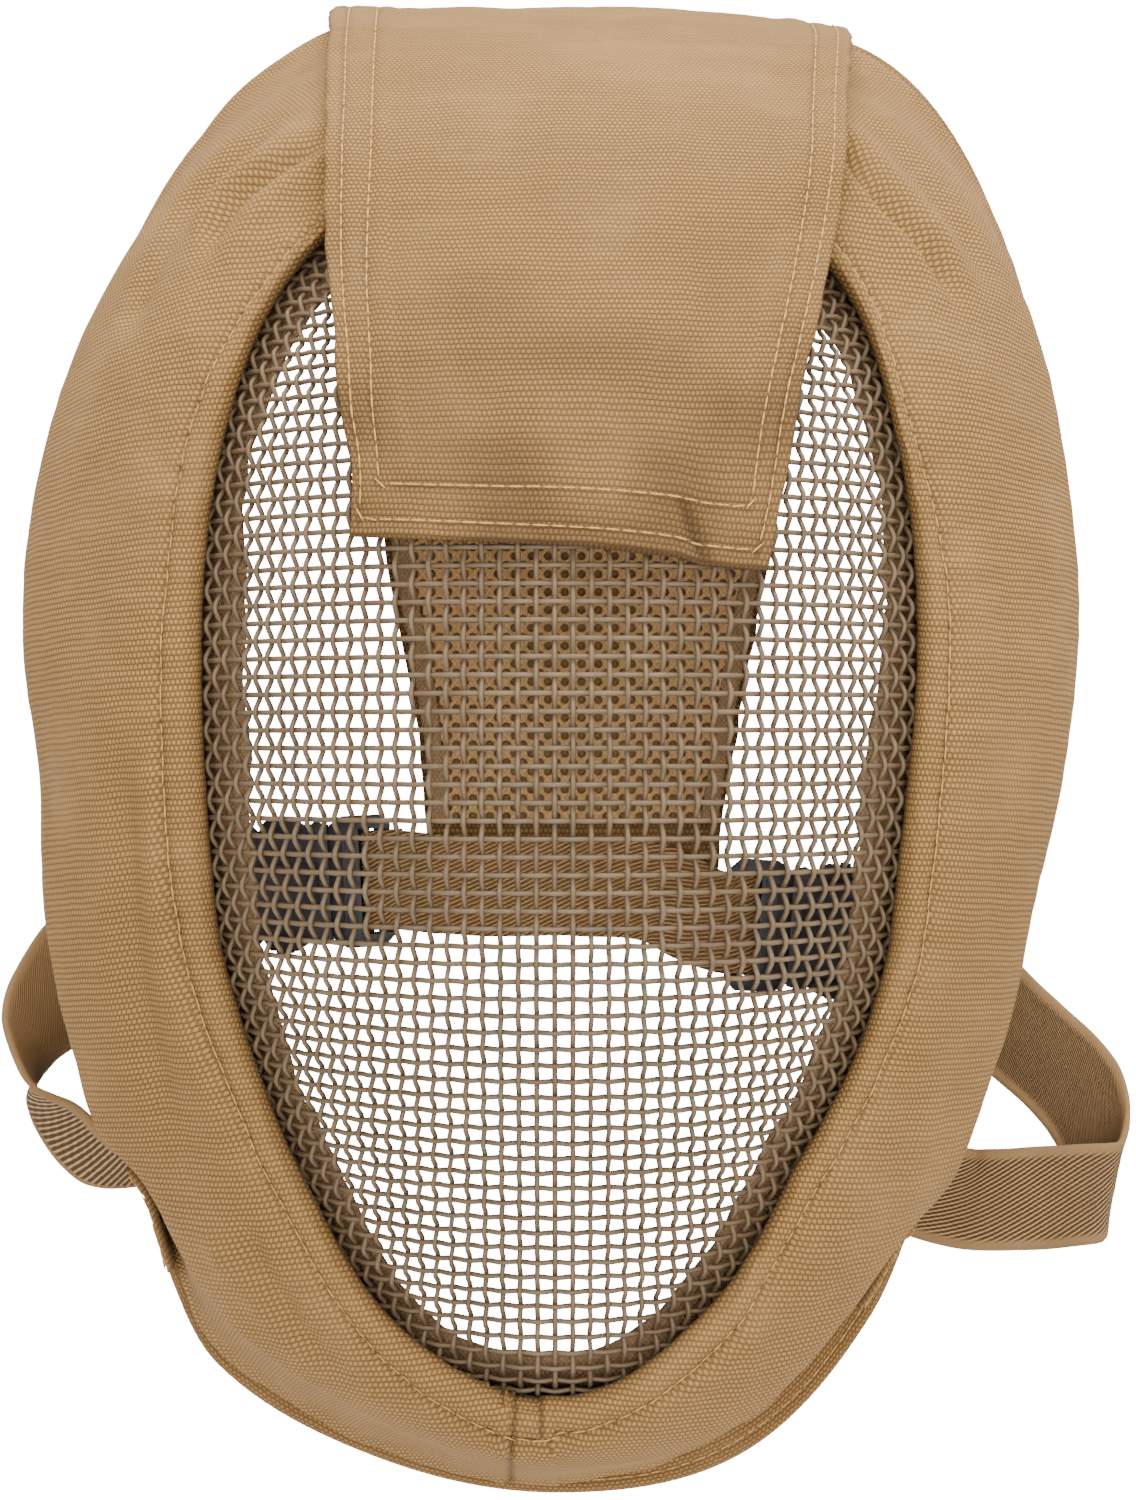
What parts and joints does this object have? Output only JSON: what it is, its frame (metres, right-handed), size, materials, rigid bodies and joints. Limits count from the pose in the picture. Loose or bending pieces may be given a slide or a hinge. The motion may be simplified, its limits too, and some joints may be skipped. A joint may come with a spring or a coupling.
{
  "type": "fencing mask",
  "caption": "Full-face woven-wire mask with a padded fabric surround, a forehead strap and two buckled elastic straps, lying face up.",
  "frame": {"origin": "the middle of the whole part's footprint, on the surface the mask lies on", "axes": "+X towards the wearer's left side, +Y towards the forehead, +Z out of the face, away from the surface"},
  "size_m": [0.2274, 0.2973, 0.1313],
  "materials": {
    "canvas": "plain-weave nylon, matte",
    "binding": "ribbed tape, matte",
    "lining": "brushed, matte",
    "air_mesh": "open spacer mesh, matte",
    "webbing": "twill webbing, low sheen",
    "wire": "satin brown paint",
    "buckle": "moulded, satin"
  },
  "bodies": {
    "root": {"visor_mesh": "wire", "cover_left": "canvas", "cover_right": "canvas", "inner_lining": "lining", "rim_binding": "binding", "head_strap": "canvas", "crown_pad": "air_mesh", "rear_band": "webbing", "elastic_left": "webbing", "elastic_right": "webbing", "strap_tab_left": "canvas", "strap_tab_right": "canvas", "buckle_plug_left": "buckle", "buckle_plug_right": "buckle", "buckle_socket_left": "buckle", "buckle_socket_right": "buckle"}
  },
  "joints": []
}
